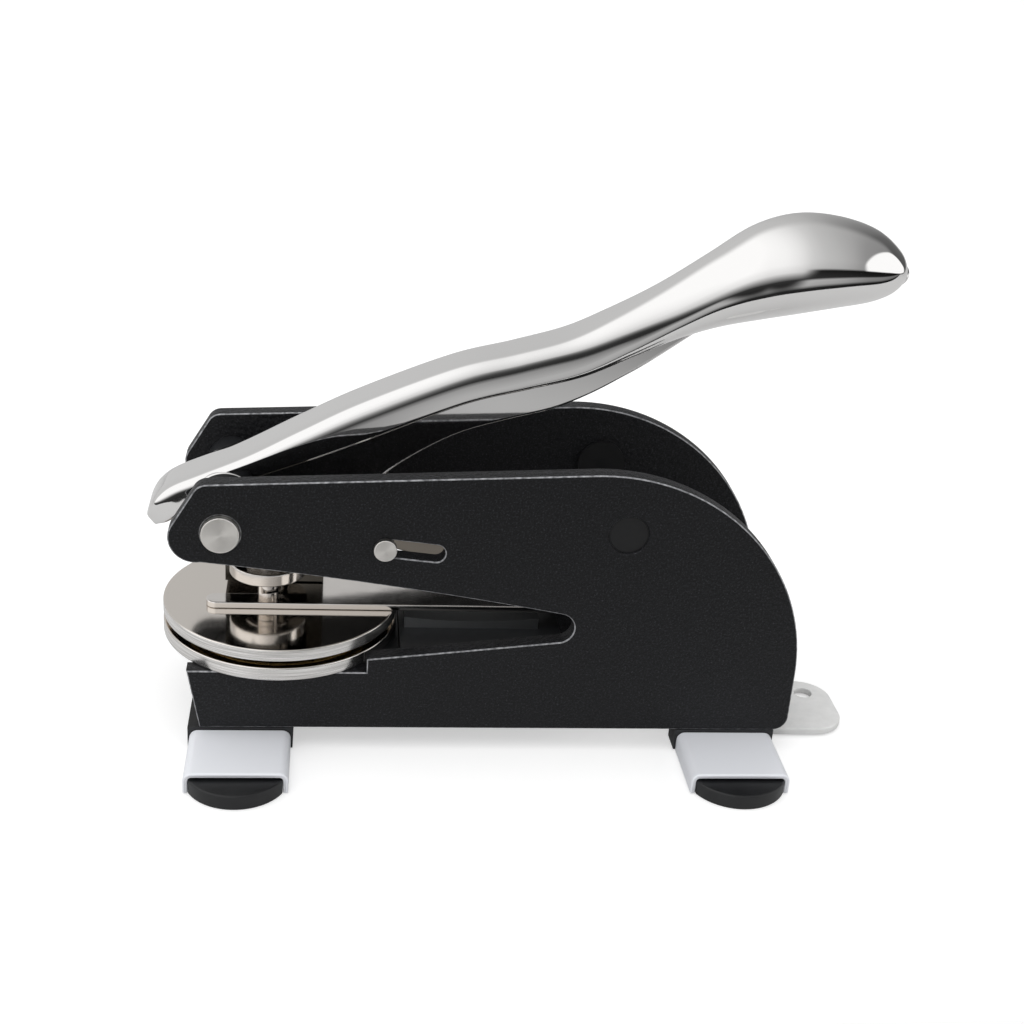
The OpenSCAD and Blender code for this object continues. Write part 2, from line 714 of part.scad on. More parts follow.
// Stations along the lever, measured from the pivot: top x, top z, bottom x, bottom z, then how far
// the width has gone from the arm's to the bulb's, and the height of the widest line
lever_stations = [
    [-19.7, -5.6, -17.4, -9.0, -0.45, 0.5],
    [-19.0, -2.8, -14.6, -7.4, -0.2, 0.45],
    [-17.2, 0.6, -11.6, -4.4, -0.07, 0.4],
    [-13.6, 3.4, -8.6, -1.4, -0.03, 0.35],
    [-6.5, 6.7, -3.5, 1.4, 0, 0.3],
    [5.4, 12.1, 7.8, 6.6, 0, 0.25],
    [18.3, 19.1, 21, 11.6, 0, 0.25],
    [33.6, 27.1, 36.6, 18, 0, 0.25],
    [56.7, 36.9, 59.4, 27.9, 0, 0.25],
    [72.5, 41.4, 75, 32.3, 0, 0.3],
    [85.4, 45.4, 89.5, 36.2, 0.02, 0.35],
    [96, 51, 101.5, 41.2, 0.05, 0.4],
    [108, 58.6, 114, 46.4, 0.1, 0.45],
    [120.5, 67.6, 124.5, 49.6, 0.25, 0.5],
    [131, 74.6, 134, 52.2, 0.6, 0.5],
    [141.5, 77.8, 143, 54.2, 0.93, 0.5],
    [152, 77.2, 152.5, 56.4, 1, 0.5],
    [161.5, 73.6, 160.5, 57.8, 0.72, 0.5],
    [167.8, 69, 165.5, 59.4, 0.25, 0.5],
    [171, 65.6, 169.2, 61.6, -0.4, 0.5]];
rings_per_station = 2;
ring_points = 20;
lever_rings = (len(lever_stations) - 1) * rings_per_station;

// One ring of the lever: a rounded section between a top and a bottom point
function lever_ring(u) =
    let (s = spline(lever_stations, u),
        half_w = (arm_w + (bulb_w - arm_w) * s[4]) / 2,
        mid = [s[0] * s[5] + s[2] * (1 - s[5]), s[1] * s[5] + s[3] * (1 - s[5])])
    [for (i = [0:ring_points - 1])
        let (a = 360 * i / ring_points, c = cos(a), v = sin(a), k = 0.8,
            y = half_w * sign(c) * pow(abs(c), k),
            end = v > 0 ? [s[0], s[1]] - mid : mid - [s[2], s[3]],
            p = mid + end * sign(v) * pow(abs(v), k))
        [pivot_x + p[0], y, pivot_z + p[1]]];

module lever_beam() {
    points = [for (r = [0:lever_rings]) each lever_ring(r / rings_per_station)];
    n = ring_points;
    sides = [for (r = [0:lever_rings - 1], i = [0:n - 1]) each
        let (a = r * n + i, b = r * n + (i + 1) % n) [[a, b + n, b], [a, a + n, b + n]]];
    polyhedron(points, concat(sides,
        [[for (i = [0:n - 1]) i]],
        [[for (i = [n - 1:-1:0]) lever_rings * n + i]]));
}

// Lower edge of the web behind the hook's mouth, measured from the pivot
web_edge = [[118, 48.5], [107, 40.3], [99.5, 35.4], [91.8, 30.8], [82.6, 26.5], [71.3, 23.3],
    [60.1, 19.7], [50.8, 14.8], [43, 9.4], [39.2, 5.8]];
web_top = [for (i = [4:13]) let (s = lever_stations[i]) [(s[0] + s[2]) / 2, (s[1] + s[3]) / 2]];
web_low = -pad_drop - pad_d / 2;
mouth_r = 3;

// The hook's top runs along the retaining shaft's slot, just below the shaft
hook_back = retainer_reach - retainer_d / 2 - hook_room;
hook_front = retainer_reach - hook_tongue_l;
hook_end_r = hook_h / 2;
hook_dir = [cos(slot_slope), -sin(slot_slope)];
hook_down = [-sin(slot_slope), -cos(slot_slope)];
hook_start = [retainer_reach, -retainer_drop] + hook_down * (retainer_d / 2 + gap);
hook_end = hook_start + hook_dir * (retainer_travel - 0.7 * retainer_d) + hook_down * hook_end_r;

function hook_top(x) = hook_start[1] + (hook_start[0] - x) * tan(slot_slope);

module web_outline() {
    translate([pivot_x, pivot_z]) polygon(concat(
        web_top,
        web_edge,
        arc([hook_back + mouth_r, 2.6], mouth_r, 140, 180, 5),
        [[hook_back, hook_top(hook_back) + press_play], [hook_front, hook_top(hook_front) + press_play],
            [hook_front, web_low], [ram_reach + 7, -pad_drop - pad_d / 4],
            [4, -pad_drop - pad_d / 4 + 0.3], [-3, 0]]));
}

// Steel hook brazed into a step under the web, for the retaining shaft
module lever_hook() {
    color("#dcdcda") across(-web_t / 2, web_t / 2) translate([pivot_x, pivot_z]) polygon(concat(
        [[hook_front + press_play, hook_top(hook_front + press_play)], [hook_front + press_play, web_low]],
        arc(hook_end, hook_end_r, -102, 90 - slot_slope, 14)));
}

module lever() {
    color("#dcdcda") difference() {
        union() {
            lever_beam();
            across(-web_t / 2, web_t / 2) web_outline();
            cross_rod(pivot_x, pivot_z, hub_d, -hub_w / 2, hub_w / 2);
        }
        cross_rod(pivot_x, pivot_z, pivot_d + 2 * bush_wall + 2 * press_play, -hub_w, hub_w);
        cross_rod(pivot_x + ram_reach, pivot_z - pad_drop, pad_d + 2 * press_play, -web_t, web_t);
    }
}

module lever_bush() {
    color("#b08d4a") difference() {
        cross_rod(pivot_x, pivot_z, pivot_d + 2 * bush_wall, -hub_w / 2, hub_w / 2);
        cross_rod(pivot_x, pivot_z, pivot_d + 2 * run_play, -hub_w, hub_w);
    }
}

module press_pad() {
    color("#6d6f72") cross_rod(pivot_x + ram_reach, pivot_z - pad_drop, pad_d, -web_t / 2, web_t / 2);
}

// ---- retaining shaft ----

module retaining_shaft() {
    color("#c9c9c6") cross_rod(retainer_pos[0], retainer_pos[1], retainer_d,
        -outer_y - retainer_head_t / 2, half_gap + groove_depth - gap);
}

// Head pressed on the near end of the shaft
module retaining_head() {
    color("#c9c9c6") difference() {
        cross_rod(retainer_pos[0], retainer_pos[1], retainer_head_d,
            -outer_y - gap - retainer_head_t, -outer_y - gap);
        cross_rod(retainer_pos[0], retainer_pos[1], retainer_d + 2 * press_play,
            -outer_y - retainer_head_t / 2 - press_play, -outer_y);
    }
}

side_plate_near();
side_plate_far();
base_block();
rear_block();
ram_guide();
plate_plug_near();
plate_plug_far();
pivot_pin();
pivot_retaining_ring();
spacer_near();
spacer_far();
foot_bar_front();
foot_bar_rear();
foot_cap_front_near();
foot_cap_front_far();
foot_cap_rear_near();
foot_cap_rear_far();
rubber_foot_front_near();
rubber_foot_front_far();
rubber_foot_rear_near();
rubber_foot_rear_far();
rear_lug();
lug_screws();
foot_screws();
lower_disc();
lower_die();
rest_block();
rest_screws();
spring_pin();
leaf_spring();
lever();
lever_hook();
lever_bush();
press_pad();
ram();
adjusting_ring();
upper_disc();
upper_die();
retaining_shaft();
retaining_head();
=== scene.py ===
import math

import bpy
import numpy as np
from mathutils import Matrix
from mathutils.geometry import tessellate_polygon


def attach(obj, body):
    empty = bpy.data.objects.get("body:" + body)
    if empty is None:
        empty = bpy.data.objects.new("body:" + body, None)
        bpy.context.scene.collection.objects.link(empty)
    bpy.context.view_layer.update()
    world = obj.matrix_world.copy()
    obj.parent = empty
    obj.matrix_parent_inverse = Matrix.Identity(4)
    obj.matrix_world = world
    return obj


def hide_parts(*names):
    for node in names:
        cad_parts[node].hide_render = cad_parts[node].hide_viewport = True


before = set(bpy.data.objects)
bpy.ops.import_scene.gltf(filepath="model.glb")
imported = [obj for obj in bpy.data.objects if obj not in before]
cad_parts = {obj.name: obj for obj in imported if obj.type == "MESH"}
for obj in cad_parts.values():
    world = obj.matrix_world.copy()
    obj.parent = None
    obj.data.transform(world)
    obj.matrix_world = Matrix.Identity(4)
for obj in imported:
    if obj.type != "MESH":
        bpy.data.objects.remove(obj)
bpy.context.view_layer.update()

# ---- Studio ----
# The press stands at the front edge of a white table, under a large softbox with a bright window to
# the right of the camera. The room below the table's level is mostly dark, which draws the black
# bands on polished metal.


def linear(hex_colour):
    """An sRGB hex value as linear RGBA: each channel goes through the sRGB curve."""
    srgb = [int(hex_colour[i:i + 2], 16) / 255 for i in (1, 3, 5)]
    return [c / 12.92 if c <= 0.04045 else ((c + 0.055) / 1.055) ** 2.4 for c in srgb] + [1.0]


def add_node(tree, kind, inputs=None, **settings):
    """Adds a node, gives it its settings, and sets or links each of its named inputs."""
    node = tree.nodes.new(kind)
    for name, value in settings.items():
        setattr(node, name, value)
    for name, value in (inputs or {}).items():
        if isinstance(value, bpy.types.NodeSocket):
            tree.links.new(value, node.inputs[name])
        else:
            node.inputs[name].default_value = value
    return node


def set_ramp(node, stops):
    """Gives a colour ramp its stops, as pairs of position and grey level or colour."""
    elements = node.color_ramp.elements
    while len(elements) > 1:
        elements.remove(elements[-1])
    for i, (place, value) in enumerate(stops):
        stop = elements[0] if i == 0 else elements.new(place)
        stop.position = place
        stop.color = value if isinstance(value, list) else [value, value, value, 1.0]


# The photograph's camera, fitted to the outlines of the plates, the discs, the feet and the lug
camera_place = (-0.05014, -0.37238, 0.22608)
camera_right = (0.99266251, -0.09924203, 0.06908086)
camera_up = (-0.02186097, 0.41459532, 0.90974327)
camera_back = (-0.11892537, -0.90457821, 0.4093837)
camera_data = bpy.data.cameras.new("photo_camera")
camera_data.sensor_width = 36
camera_data.lens = 54.24
camera_data.clip_start = 0.01
camera = bpy.data.objects.new("photo_camera", camera_data)
bpy.context.scene.collection.objects.link(camera)
camera_columns = (camera_right, camera_up, camera_back, camera_place)
camera.matrix_world = Matrix([[column[row] for column in camera_columns] for row in range(3)]
                             + [[0, 0, 0, 1]])
bpy.context.scene.camera = camera
bpy.context.scene.view_settings.view_transform = "Standard"

world = bpy.data.worlds.new("studio")
bpy.context.scene.world = world
world.use_nodes = True
sky = world.node_tree
sky.nodes.clear()
sky_dir = add_node(sky, "ShaderNodeTexCoord").outputs["Generated"]
sky_axes = add_node(sky, "ShaderNodeSeparateXYZ", {"Vector": sky_dir})
to_front = add_node(sky, "ShaderNodeMath", {0: sky_axes.outputs["Y"], 1: -1.0}, operation="MULTIPLY")
height_angle = add_node(sky, "ShaderNodeMath", {0: sky_axes.outputs["Z"], 1: to_front.outputs[0]},
                        operation="ARCTAN2")
degrees_up = add_node(sky, "ShaderNodeMath", {0: height_angle.outputs[0], 1: 180 / math.pi},
                      operation="MULTIPLY").outputs[0]


def range_node(value, low, high, at_low=0.0, at_high=1.0):
    """Carries value from low..high smoothly to at_low..at_high; gives its output."""
    return add_node(sky, "ShaderNodeMapRange", {"Value": value, "From Min": low, "From Max": high,
                                                "To Min": at_low, "To Max": at_high},
                    interpolation_type="SMOOTHSTEP").outputs[0]


def level_ramp(value, low, high, levels):
    """The light's level as a curve through pairs of value and level, between low and high."""
    share = add_node(sky, "ShaderNodeMapRange", {"Value": value, "From Min": low, "From Max": high})
    ramp = add_node(sky, "ShaderNodeValToRGB", {"Fac": share.outputs[0]})
    set_ramp(ramp, [((place - low) / (high - low), level) for place, level in levels])
    return ramp.outputs["Color"]


def mix_levels(factor, first, second):
    """Goes from the first level to the second as factor goes from 0 to 1."""
    return add_node(sky, "ShaderNodeMix", {"Factor": factor, "A": first, "B": second},
                    data_type="FLOAT").outputs[0]


def product(first, second):
    """The product of two levels."""
    return add_node(sky, "ShaderNodeMath", {0: first, 1: second}, operation="MULTIPLY").outputs[0]


# Level of the softbox overhead and of the room behind, from left (-1) to right (1)
sideways = sky_axes.outputs["X"]
overhead = level_ramp(sideways, -1, 1, [
    (-1, 1.0), (-0.45, 1.0), (-0.3, 0.92), (-0.15, 0.78), (0, 0.62), (0.15, 0.52), (0.3, 0.46),
    (0.45, 0.38), (0.6, 0.28), (1, 0.18)])
behind = level_ramp(sideways, -1, 1, [
    (-1, 0.55), (-0.3, 0.54), (0, 0.5), (0.15, 0.45), (0.3, 0.36), (0.45, 0.22), (0.6, 0.12),
    (1, 0.06)])
# Level below the softbox's front edge, in degrees from the front horizon, on the left and the right
left_low = level_ramp(degrees_up, -90, 30, [
    (-90, 0.5), (-62, 0.15), (-47, 0.02), (-28, 0.02), (-16, 0.04), (-7, 0.4), (2, 0.85),
    (20, 1.0), (30, 1.0)])
right_low = level_ramp(degrees_up, -90, 30, [
    (-90, 0.5), (-62, 0.15), (-54, 0.03), (-39, 0.03), (-31, 0.7), (-20, 0.8), (-15, 0.05),
    (3, 0.02), (9, 0.9), (30, 1.0)])
# Where one level gives way to the next: from left to right, and from overhead to behind in degrees
left_to_right = (-0.1, 0.12)
top_to_behind = (112, 138)
below = mix_levels(range_node(sideways, *left_to_right), left_low, right_low)
above = mix_levels(range_node(degrees_up, *top_to_behind), overhead, behind)
# The window: its left edge, its foot in degrees, and its top, where degrees_up - 400 * sideways is -215
window_left = (0.56, 0.62)
window_foot = (2, 8)
window_slant = -400.0
window_top = (-215, -200)
slanted = add_node(sky, "ShaderNodeMath", {0: sideways, 1: window_slant, 2: degrees_up},
                   operation="MULTIPLY_ADD").outputs[0]
window = product(product(range_node(sideways, *window_left), range_node(degrees_up, *window_foot)),
                 range_node(slanted, *window_top, 1.0, 0.0))
room = mix_levels(window, product(above, below), 1.0)
sky_light = add_node(sky, "ShaderNodeBackground", {"Color": room, "Strength": 1.2})
sky_white = add_node(sky, "ShaderNodeBackground", {"Color": (1, 1, 1, 1), "Strength": 1.0})
sky_path = add_node(sky, "ShaderNodeLightPath")
sky_mix = add_node(sky, "ShaderNodeMixShader", {0: sky_path.outputs["Is Camera Ray"],
                                                1: sky_light.outputs[0], 2: sky_white.outputs[0]})
add_node(sky, "ShaderNodeOutputWorld", {"Surface": sky_mix.outputs[0]})

# The softbox's own even light on matt surfaces, which mirrors see in the world above instead
fill_data = bpy.data.lights.new("overhead_fill", "AREA")
fill_data.size = 1.6
fill_data.energy = 9.0
fill = bpy.data.objects.new("overhead_fill", fill_data)
fill.location = (0.0, -0.35, 1.5)
fill.visible_glossy = False
bpy.context.scene.collection.objects.link(fill)


def new_material(name):
    """A material with only an output and a principled shader; gives it, its nodes and the shader."""
    material = bpy.data.materials.new(name)
    material.use_nodes = True
    tree = material.node_tree
    tree.nodes.clear()
    shader = add_node(tree, "ShaderNodeBsdfPrincipled")
    add_node(tree, "ShaderNodeOutputMaterial", {"Surface": shader.outputs[0]})
    return material, tree, shader


def set_surface(shader, colour, roughness, metallic=0.0, specular=0.5):
    """Sets a principled shader's colour, as a hex value, and its gloss."""
    shader.inputs["Base Color"].default_value = linear(colour)
    shader.inputs["Roughness"].default_value = roughness
    shader.inputs["Metallic"].default_value = metallic
    shader.inputs["Specular IOR Level"].default_value = specular


def object_noise(tree, grain_mm, detail, roughness=0.5):
    """Noise in the object's own coordinates, with grains about grain_mm wide; gives its output."""
    place = add_node(tree, "ShaderNodeTexCoord").outputs["Object"]
    return add_node(tree, "ShaderNodeTexNoise", {
        "Vector": place, "Scale": 1000 / grain_mm, "Detail": detail,
        "Roughness": roughness}).outputs["Fac"]


def vary_roughness(tree, shader, noise, low, high):
    """Lets the roughness follow a noise from low to high."""
    rough = add_node(tree, "ShaderNodeMapRange", {
        "Value": noise, "From Min": 0.3, "From Max": 0.7, "To Min": low, "To Max": high})
    tree.links.new(rough.outputs[0], shader.inputs["Roughness"])


def tint_by(tree, noise, stops):
    """A ramp of hex colours over a noise; gives its colour."""
    ramp = add_node(tree, "ShaderNodeValToRGB", {"Fac": noise})
    set_ramp(ramp, [(place, linear(colour)) for place, colour in stops])
    return ramp.outputs["Color"]


def add_bump(tree, shader, height, strength, distance_mm):
    """Raises the surface by height."""
    bump = add_node(tree, "ShaderNodeBump", {"Strength": strength, "Distance": distance_mm / 1000,
                                             "Height": height})
    tree.links.new(bump.outputs[0], shader.inputs["Normal"])


def white_table():
    """Painted board: a matt white that shows as paper white to the camera, with the press's shadow."""
    material, tree, shader = new_material("white_painted_board")
    set_surface(shader, "#d2d2d2", 0.6, specular=0.2)
    path = add_node(tree, "ShaderNodeLightPath")
    lift = add_node(tree, "ShaderNodeMath", {0: path.outputs["Is Camera Ray"], 1: 0.5},
                    operation="MULTIPLY")
    shader.inputs["Emission Color"].default_value = (1, 1, 1, 1)
    tree.links.new(lift.outputs[0], shader.inputs["Emission Strength"])
    return material


def add_mesh(name, points_mm, faces, material, smooth_angle=35):
    """Makes an object from points in millimetres; edges flatter than smooth_angle are shaded smooth."""
    mesh = bpy.data.meshes.new(name)
    mesh.from_pydata((np.asarray(points_mm, float) * 0.001).tolist(), [], faces)
    mesh.validate()
    mesh.materials.append(material)
    mesh.shade_smooth()
    mesh.set_sharp_from_angle(angle=math.radians(smooth_angle))
    piece = bpy.data.objects.new(name, mesh)
    bpy.context.scene.collection.objects.link(piece)
    return piece


table_half = 3000
table_front = -130
table = add_mesh("table", [(-table_half, table_front, 0), (table_half, table_front, 0),
                           (table_half, 2 * table_half, 0), (-table_half, 2 * table_half, 0)],
                 [(0, 1, 2, 3)], white_table())

# ---- Side plates ----
# Two flame-cut steel plates, 5 mm thick, tumbled so that every edge is slightly round, then powder
# coated black with a fine leather grain. The pivot and the discs' seat are cut into their outline.


def arc(centre_x, centre_z, radius, start, end, steps):
    """Points of a circle's arc from angle start to angle end, in degrees."""
    angle = np.radians(np.linspace(start, end, steps + 1))
    return np.stack([centre_x + radius * np.cos(angle), centre_z + radius * np.sin(angle)], 1)


def inset(loop, distance):
    """A closed outline moved by distance to its left, each point along its two edges' mean normal."""
    ahead = np.roll(loop, -1, 0) - loop
    ahead /= np.linalg.norm(ahead, axis=1, keepdims=True)
    normal = np.stack([-ahead[:, 1], ahead[:, 0]], 1)
    mean = normal + np.roll(normal, 1, 0)
    least_share = 0.6
    mean /= np.maximum(np.sum(mean * normal, 1, keepdims=True), least_share)
    return loop + distance * mean


def rounded_slab(loops, low, high, edge, plane="xz"):
    """A flat slab between low and high with quarter-round edges of radius edge.

    loops holds the outer outline, counterclockwise, and then any holes, clockwise. Each ring of the
    edge is the outline moved inwards by edge * (1 - cos t) while it rises by edge * (1 - sin t). One
    more ring, further in, keeps the flat faces flat."""
    turns = np.radians([90, 67.5, 45, 22.5, 0])
    flat_start = 1.6 * edge
    moves = [flat_start] + list(edge * (1 - np.cos(turns)))
    rises = [0.0] + list(edge * (1 - np.sin(turns)))
    rings = [(m, low + r) for m, r in zip(moves, rises)]
    rings += [(m, high - r) for m, r in zip(moves[::-1], rises[::-1])]
    points, faces, starts = [], [], []
    count = 0
    for loop in loops:
        n = len(loop)
        starts.append(count)
        for move, level in rings:
            flat = inset(loop, move)
            points.append(np.column_stack([flat, np.full(n, level)]))
        i = np.arange(n)
        j = (i + 1) % n
        for r in range(len(rings) - 1):
            a = count + r * n
            faces += np.stack([a + i, a + j, a + n + j, a + n + i], 1).tolist()
        count += n * len(rings)
    points = np.concatenate(points)
    for ring, flip in ((0, True), (len(rings) - 1, False)):
        loop_ids = [[start + ring * len(loop) + k for k in range(len(loop))]
                    for start, loop in zip(starts, loops)]
        ids = sum(loop_ids, [])
        outlines = [[(*points[i][:2], 0) for i in one_loop] for one_loop in loop_ids]
        for tri in tessellate_polygon(outlines):
            face = [ids[t] for t in tri]
            corner = points[face][:, :2]
            turn = np.cross(corner[1] - corner[0], corner[2] - corner[0])
            faces.append(face[::-1] if (turn > 0) == flip else face)
    if plane == "xz":
        points = np.stack([points[:, 0], -points[:, 2], points[:, 1]], 1)
    return points, faces


def join_shapes(*shapes):
    """Several point and face lists as one."""
    points, faces, count = [], [], 0
    for shape_points, shape_faces in shapes:
        points.append(np.asarray(shape_points))
        faces += [[count + k for k in face] for face in shape_faces]
        count += len(shape_points)
    return np.concatenate(points), faces


plate_t = 5
half_gap = 21.5
outer_y = half_gap + plate_t
plate_edge = 0.55
plate_low = 6.5
plate_corner = 4
bottom_front_x, seat_front_x = -81.8, -84.9
top_front_centre = (-79, 70.86)
rear_centre, rear_r = (18.5, 23.9), 56
top_slope = 2.96
front_turn = 153.7
pivot = np.array([-76.0, 62.0])
nose, nose_r, nose_end = pivot + [-6.1, -1.5], 6.7, 280
jaw_bow = 1.0
throat, throat_r, throat_top, throat_low = (9.7, 36.8), 4.1, 80, -83.5
seat_x, seat_edge_z, seat_z = -39.21, 27.09, 23.19
pivot_hole_r, shaft_hole_r, plug_hole_r = 4.8, 4.05, 5.05
slot_slope = 5.9
slot_dir = np.array([math.cos(math.radians(slot_slope)), -math.sin(math.radians(slot_slope))])
retainer_offset = np.array([40.4, -3.1])
retainer = pivot + retainer_offset
retainer_travel = 12.8
slot_r = 2.3
plug = np.array([25.6, 63.6])
# Painted highlight: faces whose normal has this much of Y, further than plug_room from the plug, get a
# light grey edge coat
highlight_tilt = (0.3, 0.97)
plug_room = 6


def plate_outline():
    """The plate's outline, counterclockwise: bottom, rear arc, top, nose, upper jaw, throat, seat.

    The upper jaw is the chord from nose to throat, raised by jaw_bow in its middle: the rise at a
    share t of the chord is 4 * jaw_bow * t * (1 - t)."""
    jaw_start = arc(*nose, nose_r, nose_end, nose_end, 0)[0]
    jaw_end = arc(*throat, throat_r, throat_top, throat_top, 0)[0]
    share = np.linspace(0, 1, 13)[1:-1, None]
    jaw = jaw_start + (jaw_end - jaw_start) * share + np.array([0, 4 * jaw_bow]) * share * (1 - share)
    return np.concatenate([
        [[bottom_front_x, plate_low]],
        arc(rear_centre[0] + rear_r - plate_corner, plate_low + plate_corner, plate_corner,
            -90, 0, 10),
        arc(*rear_centre, rear_r, 0, 90 + top_slope, 72),
        arc(*top_front_centre, plate_corner, 90 + top_slope, front_turn, 10),
        arc(*nose, nose_r, front_turn, nose_end, 28), jaw,
        arc(*throat, throat_r, throat_top, throat_low, 24),
        [[seat_x, seat_edge_z], [seat_x, seat_z], [seat_front_x, seat_z]]])


def slot_outline():
    """The retaining shaft's slot, clockwise: two half circles joined by straight sides."""
    far = retainer + retainer_travel * slot_dir
    return np.concatenate([arc(*far, slot_r, 90 - slot_slope, -90 - slot_slope, 14),
                           arc(*retainer, slot_r, 270 - slot_slope, 90 - slot_slope, 14)])


def powder_coat():
    """Black powder coat with a leather grain: as it bakes, the film pulls into soft cells about
    1 mm wide."""
    material, tree, shader = new_material("leather_grain_powder_coat")
    place = add_node(tree, "ShaderNodeTexCoord").outputs["Object"]
    cell_width = 0.0011
    cells = add_node(tree, "ShaderNodeTexVoronoi", {"Vector": place, "Scale": 1 / cell_width},
                     feature="SMOOTH_F1")
    grain = object_noise(tree, 0.5, 4.0, 0.75)
    height = add_node(tree, "ShaderNodeMix", {"Factor": 0.5, "A": cells.outputs["Distance"],
                                              "B": grain}, data_type="FLOAT")
    set_surface(shader, "#0c0d10", 0.45, specular=0.3)
    colour = tint_by(tree, grain, [(0.4, "#050507"), (0.52, "#0c0d10"), (0.62, "#26272b"),
                                   (0.72, "#505156")])
    tree.links.new(colour, shader.inputs["Base Color"])
    add_bump(tree, shader, height.outputs[0], 0.9, 0.5)
    return material


def edge_highlight_material():
    """Painted highlight along the plates' rounded edges: a smoother, glossier coat, greyer and lighter
    than the faces, for the bright lines that light draws there.
    """
    material, tree, shader = new_material("painted_edge_highlight")
    set_surface(shader, "#818286", 0.3)
    colour = tint_by(tree, object_noise(tree, 1.2, 3.0), [(0.35, "#5c5d60"), (0.65, "#a9aaad")])
    tree.links.new(colour, shader.inputs["Base Color"])
    return material


coat = powder_coat()
# Light grey coat for the plates' rounded edges: a painted highlight
highlight_coat = edge_highlight_material()


def round_hole(centre, radius):
    """A round hole's outline, clockwise."""
    return arc(*centre, radius, 360, 0, 40)[:-1]


near_holes = [round_hole(pivot, pivot_hole_r), round_hole(plug, plug_hole_r), slot_outline()]
far_holes = [round_hole(pivot, shaft_hole_r), round_hole(plug, plug_hole_r)]
for side, low, holes in (("near", half_gap, near_holes), ("far", -outer_y, far_holes)):
    slab = rounded_slab([plate_outline()] + holes, low, low + plate_t, plate_edge)
    plate = add_mesh("plate_" + side, *slab, coat)
    plate.data.materials.append(highlight_coat)
    # Painted highlight: the rounded edge faces, away from the plug, take the light grey edge coat
    for face in plate.data.polygons:
        from_plug = math.hypot(face.center.x * 1000 - plug[0], face.center.z * 1000 - plug[1])
        if highlight_tilt[0] < abs(face.normal.y) < highlight_tilt[1] and from_plug > plug_room:
            face.material_index = 1
    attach(plate, "frame")
    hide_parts("side_plate_" + side)

# ---- Lever ----
# A die-cast lever, ground, polished and chrome plated: a flat-topped arm that swells into the grip,
# over a thin web with a steel hook brazed into its step. It turns on a bronze bush, between two
# plain sleeves.


def polished_chrome():
    """Bright chrome over a polished casting: a near mirror that shows the softbox as long bands."""
    material, tree, shader = new_material("polished_chrome")
    set_surface(shader, "#e8e7e6", 0.05, metallic=1.0)
    vary_roughness(tree, shader, object_noise(tree, 20, 4.0), 0.035, 0.07)
    return material


def thin_chrome():
    """A thin chrome plate over rough steel: darker and softer than the polished casting's."""
    material, _, shader = new_material("thin_chrome_over_steel")
    set_surface(shader, "#8d867d", 0.3, metallic=1.0)
    return material


# Stations along the lever, from the pivot: top x, top z, bottom x, bottom z, how far the width has
# gone from the arm's to the grip's, and the height of the widest line
lever_stations = np.array([
    [-19.9, -4.4, -17.2, -7.8, -0.4, 0.5],
    [-19.3, -1.9, -14.6, -6.8, -0.2, 0.45],
    [-17.5, 1.0, -11.6, -4.4, -0.07, 0.4],
    [-13.9, 3.9, -8.6, -1.4, -0.03, 0.35],
    [-6.8, 7.2, -3.5, 1.4, 0, 0.3],
    [5.1, 12.6, 7.8, 6.6, 0, 0.25],
    [18.0, 19.6, 21, 11.6, 0, 0.25],
    [33.3, 27.6, 36.6, 18, 0, 0.25],
    [56.4, 37.5, 59.4, 27.9, 0, 0.25],
    [72.3, 42, 75, 32.3, 0, 0.3],
    [85.2, 46.1, 89.5, 36.2, 0.02, 0.35],
    [95.7, 51.6, 101.5, 41.2, 0.05, 0.4],
    [107.8, 59, 114, 46.4, 0.1, 0.45],
    [120.4, 68, 124.5, 49.6, 0.25, 0.5],
    [131, 75.4, 134, 51.8, 0.6, 0.5],
    [141.5, 78.8, 143, 53.8, 0.93, 0.5],
    [152.2, 78.6, 152.5, 55.9, 1, 0.5],
    [162, 76, 160.5, 57.6, 0.76, 0.5],
    [168.2, 71.6, 165.3, 59.6, 0.3, 0.5],
    [170.6, 67.6, 168.2, 62.2, -0.35, 0.5]])
arm_w = 16.6
grip_w = 28.6
# Between two places the section's power goes from the arm's, of its upper and lower half, to the grip's
grip_start, grip_full = 78, 120
arm_powers = (0.42, 0.38)
grip_power = 0.98
web_t = 8


def spline(knots, steps):
    """A smooth curve through the knots: cubics whose slope at a knot is its neighbours' chord."""
    padded = np.concatenate([knots[:1], knots, knots[-1:]])
    share = np.linspace(0, len(knots) - 1, (len(knots) - 1) * steps + 1)
    i = np.minimum(share.astype(int), len(knots) - 2)
    t = (share - i)[:, None]
    a, b, c, d = padded[i], padded[i + 1], padded[i + 2], padded[i + 3]
    return 0.5 * (2 * b + (c - a) * t + (2 * a - 5 * b + 4 * c - d) * t ** 2
                  + (3 * b - a - 3 * c + d) * t ** 3)


